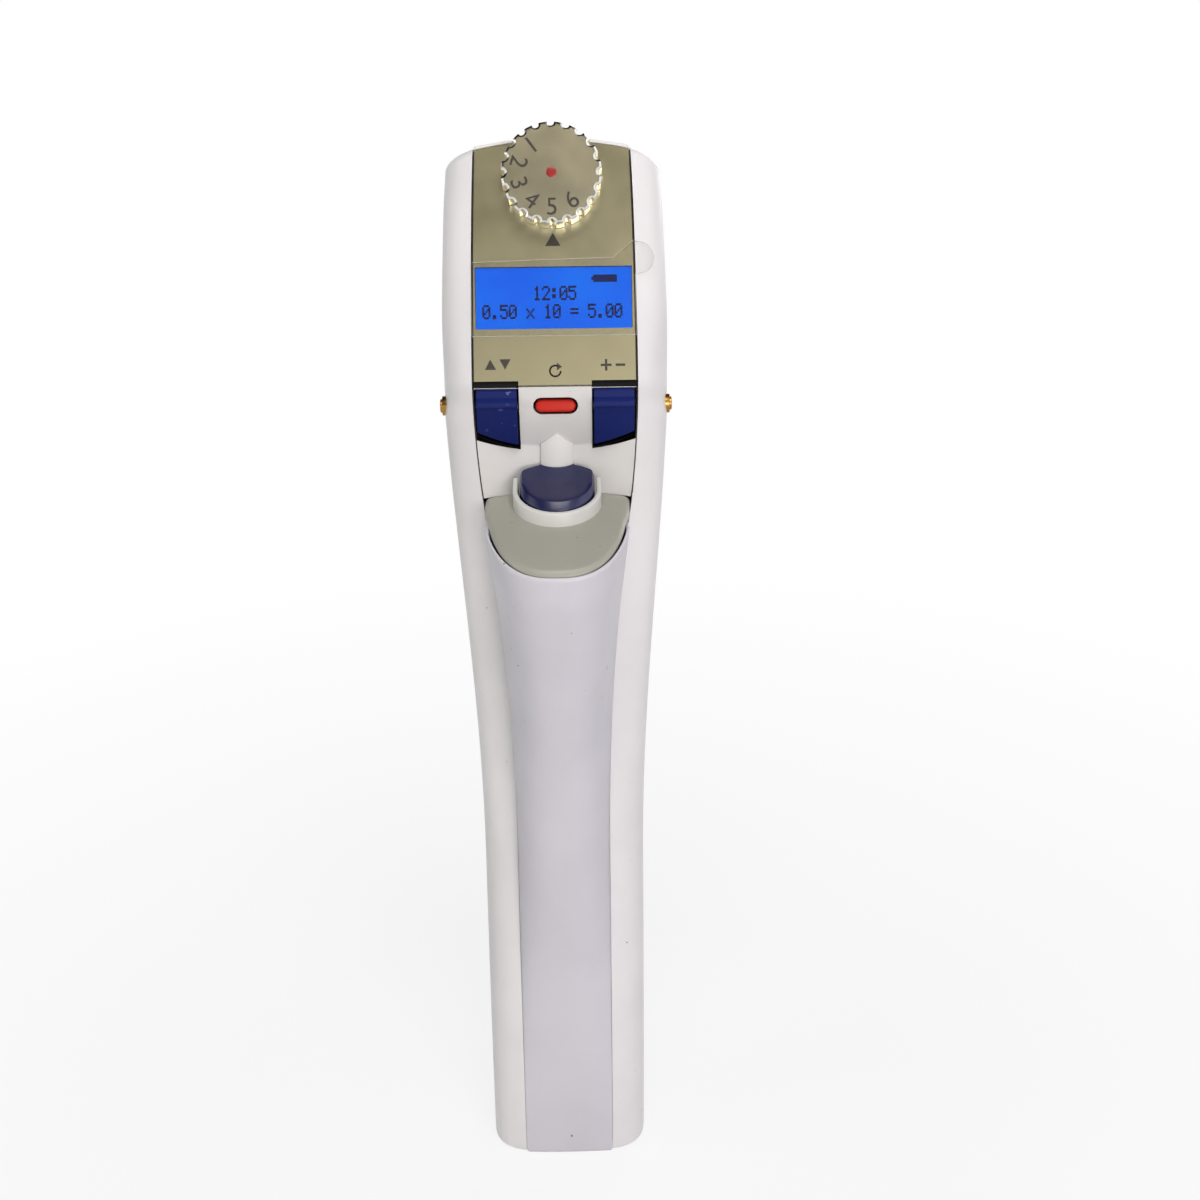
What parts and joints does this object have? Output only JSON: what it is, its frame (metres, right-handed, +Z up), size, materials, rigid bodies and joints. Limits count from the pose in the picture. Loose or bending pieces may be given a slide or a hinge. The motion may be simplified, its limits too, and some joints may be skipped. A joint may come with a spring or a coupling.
{
  "type": "repeating pipette",
  "caption": "Electronic hand-held repeating pipette: mode dial, lit display, rocker keys, thumb shelf with start key, motor-driven piston and open tip socket.",
  "frame": {"origin": "centre of the tip socket's mouth, on the piston axis", "axes": "+Z up along the handle to the dial, -Y out of the front with the keys and display, +X to the right of the front"},
  "size_m": [0.0554, 0.0742, 0.266],
  "materials": {
    "white_shell": "satin",
    "white_front": "satin",
    "shelf_plastic": "satin",
    "panel_metal": "champagne, brushed",
    "dial_chrome": "bright",
    "dot_red": "gloss",
    "key_navy": "satin",
    "reset_red": "satin",
    "black_plastic": "matt",
    "window_clear": "clear",
    "lcd_blue": "lit blue",
    "film_clear": "clear film",
    "circuit_board": "solder mask",
    "steel_part": "machined",
    "brass_part": "machined",
    "holder_white": "satin",
    "contact_gold": "gold plated",
    "cell_wrap": "shrink wrap"
  },
  "bodies": {
    "housing": {"rear_shell": "white_shell", "front_grip": "white_shell", "head_front": "white_front", "control_panel": "panel_metal", "display_window": "window_clear", "lcd_module": "lcd_blue", "lcd_holder": "black_plastic", "screen_film": "film_clear", "encoder": "steel_part", "display_board": "circuit_board", "left_key_well": "black_plastic", "right_key_well": "black_plastic", "left_axle": "steel_part", "right_axle": "steel_part", "ejector_spring": "steel_part", "tip_holder": "holder_white", "base_plate": "white_front", "guide_bush": "brass_part", "screw_bearing": "steel_part", "gearbox": "steel_part", "motor": "steel_part", "chassis": "black_plastic", "main_board": "circuit_board", "battery_pack": "cell_wrap", "battery_cover": "white_shell", "left_contact": "contact_gold", "right_contact": "contact_gold"},
    "dial": {"mode_dial": "dial_chrome", "dial_face": "panel_metal", "dial_dot": "dot_red", "dial_shaft": "steel_part"},
    "select_rocker": {"select_key": "key_navy"},
    "adjust_rocker": {"adjust_key": "key_navy"},
    "reset_button": {"reset_key": "reset_red"},
    "ejector": {"thumb_shelf": "shelf_plastic", "push_bar": "steel_part", "release_collar": "holder_white", "start_switch": "black_plastic"},
    "start_button": {"start_key": "key_navy"},
    "piston": {"piston_rod": "steel_part", "drive_nut": "brass_part"},
    "screw": {"lead_screw": "steel_part", "shaft_coupling": "brass_part"},
    "jaw_left": {"left_jaw": "steel_part"},
    "jaw_right": {"right_jaw": "steel_part"}
  },
  "joints": [
    {"name": "dial_turn", "type": "hinge", "parent": "housing", "child": "dial", "pos_m": [0, 0.02169, 0.25293], "axis": [0, -0.9311, 0.3649], "range_deg": [-36, 144]},
    {"name": "select_rock", "type": "hinge", "parent": "housing", "child": "select_rocker", "pos_m": [-0.0138, 0.0085, 0.2026], "axis": [1, 0, 0], "range_deg": [-3.5, 3.5], "stiffness_Nm_per_rad": 0.05},
    {"name": "adjust_rock", "type": "hinge", "parent": "housing", "child": "adjust_rocker", "pos_m": [0.0138, 0.0085, 0.2026], "axis": [1, 0, 0], "range_deg": [-3.5, 3.5], "stiffness_Nm_per_rad": 0.05},
    {"name": "reset_press", "type": "slide", "parent": "housing", "child": "reset_button", "axis": [0, 0.9781, -0.2079], "range_m": [0, 0.0008], "stiffness_N_per_m": 800, "springref_m": -0.0008},
    {"name": "eject_slide", "type": "slide", "parent": "housing", "child": "ejector", "axis": [0, 0, -1], "range_m": [0, 0.002], "stiffness_N_per_m": 900, "springref_m": -0.0015, "deforming": ["ejector_spring"]},
    {"name": "start_press", "type": "slide", "parent": "ejector", "child": "start_button", "axis": [0, 0, -1], "range_m": [0, 0.0016], "stiffness_N_per_m": 500, "springref_m": -0.001},
    {"name": "piston_slide", "type": "slide", "parent": "housing", "child": "piston", "axis": [0, 0, 1], "range_m": [0, 0.034]},
    {"name": "screw_spin", "type": "hinge", "parent": "housing", "child": "screw", "pos_m": [0, 0, 0.12], "axis": [0, 0, 1], "range_deg": [-2, 1534]},
    {"name": "left_jaw_pivot", "type": "hinge", "parent": "housing", "child": "jaw_left", "pos_m": [-0.0096, 0, 0.022], "axis": [0, 1, 0], "range_deg": [-0.1, 5.1]},
    {"name": "right_jaw_pivot", "type": "hinge", "parent": "housing", "child": "jaw_right", "pos_m": [0.0096, 0, 0.022], "axis": [0, -1, 0], "range_deg": [-0.1, 5.1]}
  ],
  "couplings": [
    {"joint": "screw_spin", "follows": "piston_slide", "rad_per_m": 785.4},
    {"joint": "left_jaw_pivot", "follows": "eject_slide", "rad_per_m": 43.633},
    {"joint": "right_jaw_pivot", "follows": "eject_slide", "rad_per_m": 43.633}
  ]
}
